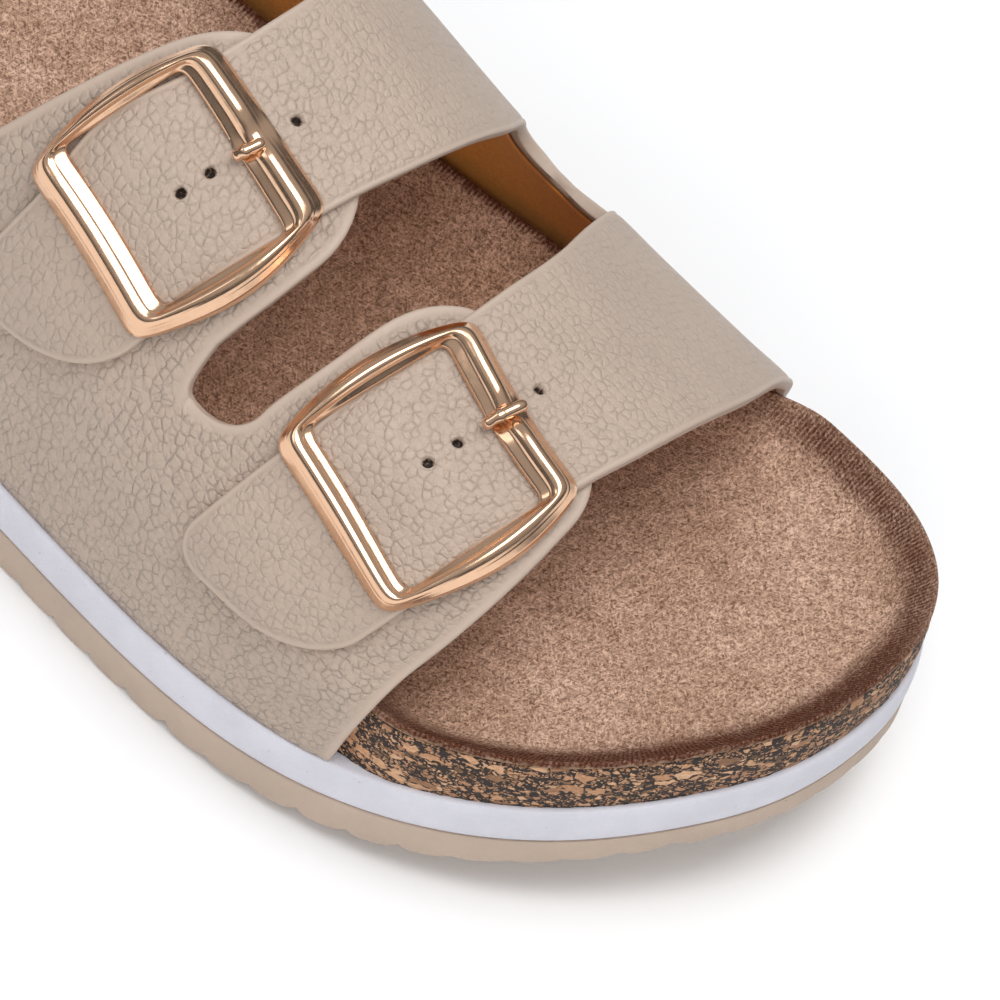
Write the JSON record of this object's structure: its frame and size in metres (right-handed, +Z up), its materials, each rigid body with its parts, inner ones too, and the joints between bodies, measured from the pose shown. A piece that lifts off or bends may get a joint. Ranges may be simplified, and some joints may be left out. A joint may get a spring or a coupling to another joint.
{
  "type": "slide sandal",
  "caption": "Slide sandal for the right foot with a contoured cork footbed, suede insole, layered sole and a leather upper whose straps close with curved metal buckles.",
  "frame": {"origin": "centre of the bounding box on the floor under the sole", "axes": "+X from heel to toe, +Y to the inner side of the foot, +Z up"},
  "size_m": [0.2509, 0.0904, 0.0706],
  "materials": {
    "outsole_rubber": "matte moulded sheet, beige",
    "midsole_foam": "fine-pored foam, white with a cool tint",
    "cork": "pressed cork, tan chips in a dark binder",
    "suede": "brushed suede, light brown, burnished at the rim",
    "grained_leather": "pebble-grained taupe leather with a soft sheen",
    "buckle_metal": "polished rose-gold plating"
  },
  "bodies": {
    "root": {"outsole": "outsole_rubber", "midsole": "midsole_foam", "footbed": "cork", "insole": "suede", "upper": "grained_leather", "buckle_front": "buckle_metal", "buckle_rear": "buckle_metal", "prong_front": "buckle_metal", "prong_rear": "buckle_metal"}
  },
  "joints": []
}
